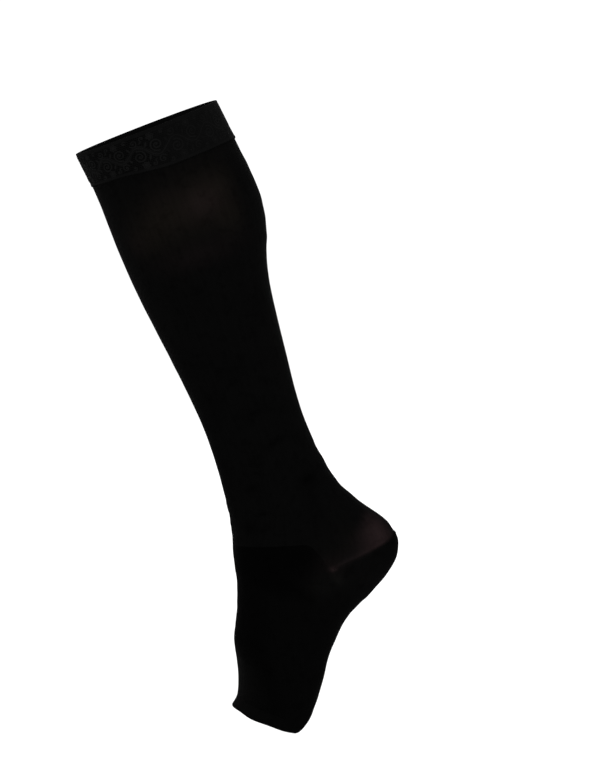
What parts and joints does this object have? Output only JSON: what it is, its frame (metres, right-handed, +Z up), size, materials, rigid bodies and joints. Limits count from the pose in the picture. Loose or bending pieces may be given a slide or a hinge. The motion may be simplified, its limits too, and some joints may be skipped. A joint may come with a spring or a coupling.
{
  "type": "compression stocking",
  "caption": "Black knee-high compression stocking with lace top band, knitted heel and open toe, hollow and shaped as worn on a stepping left leg.",
  "frame": {"origin": "centre of the top opening, inside the band that grips the leg below the knee", "axes": "+Z is up, -X is towards the toes, +X is towards the heel, -Y is the outer (little toe) side; the leg leans so that the heel is behind the top opening"},
  "size_m": [0.2711, 0.1142, 0.5159],
  "materials": {
    "lace_band": "matte black elastic lace with a scrolled floral relief",
    "leg_knit": "matte black fine knit, slightly sheer over the calf",
    "heel_knit": "matte black fine knit, slightly sheer over the heel",
    "foot_knit": "matte black fine knit",
    "welt_knit": "matte black doubled knit edge"
  },
  "bodies": {
    "root": {"top_band": "lace_band", "leg": "leg_knit", "heel_pocket": "heel_knit", "foot": "foot_knit", "toe_welt": "welt_knit"}
  },
  "joints": []
}
